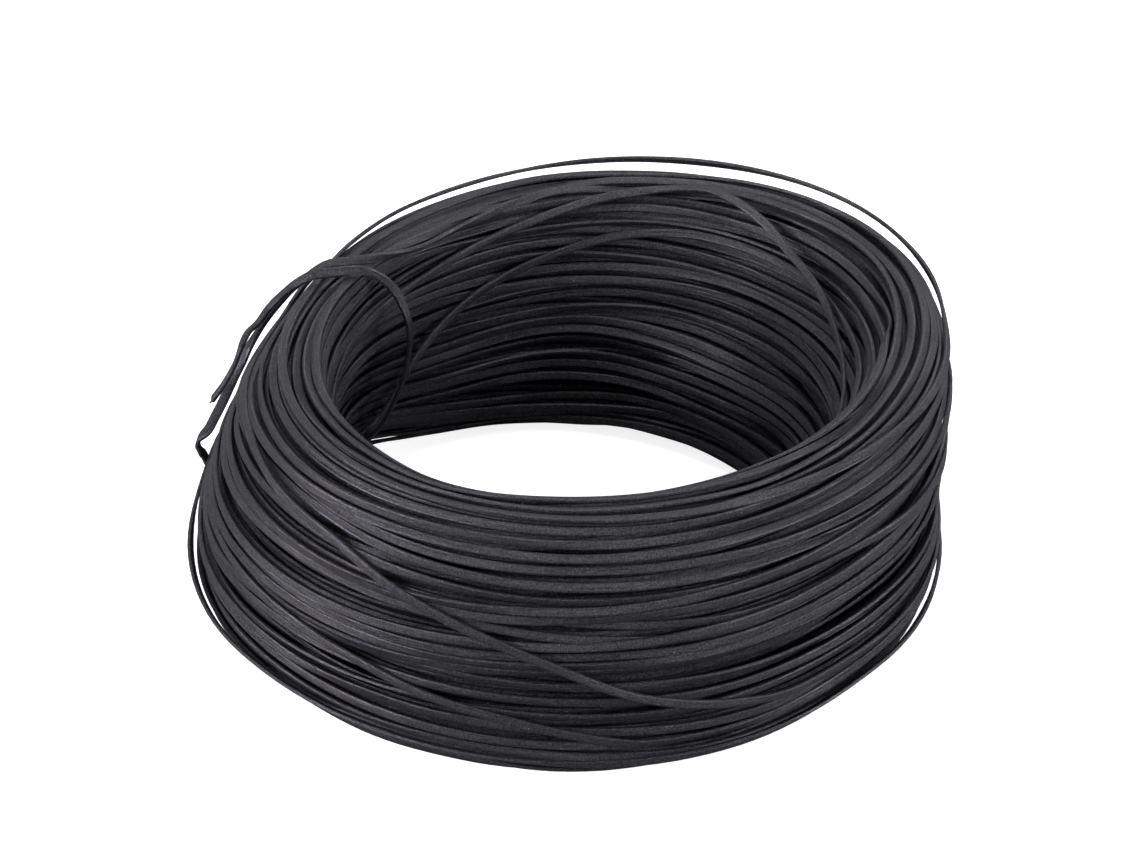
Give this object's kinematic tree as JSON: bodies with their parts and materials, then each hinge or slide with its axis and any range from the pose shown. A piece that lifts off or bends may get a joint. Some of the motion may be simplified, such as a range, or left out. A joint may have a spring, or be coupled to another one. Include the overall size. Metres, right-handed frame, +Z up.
{
  "type": "coil of binding wire",
  "caption": "Ring coil of black plastic-jacketed flat binding wire, wound loose, lying on its side and tied with the wire's own end.",
  "frame": {"origin": "on the floor under the middle of the coil's extent", "axes": "+Z up along the coil's axis, -Y towards the viewer of the picture, -X towards the tie"},
  "size_m": [0.1904, 0.1876, 0.0733],
  "materials": {
    "jacket": "satin black plastic jacket",
    "core": "bright cut steel wire"
  },
  "bodies": {
    "root": {"wire_coil": "jacket", "loose_turn_back": "jacket", "loose_turn_low": "jacket", "crossing_turn": "jacket", "bore_turn_high": "jacket", "bore_turn_low": "jacket", "tie_wire": "jacket", "steel_core_end": "core"}
  },
  "joints": []
}
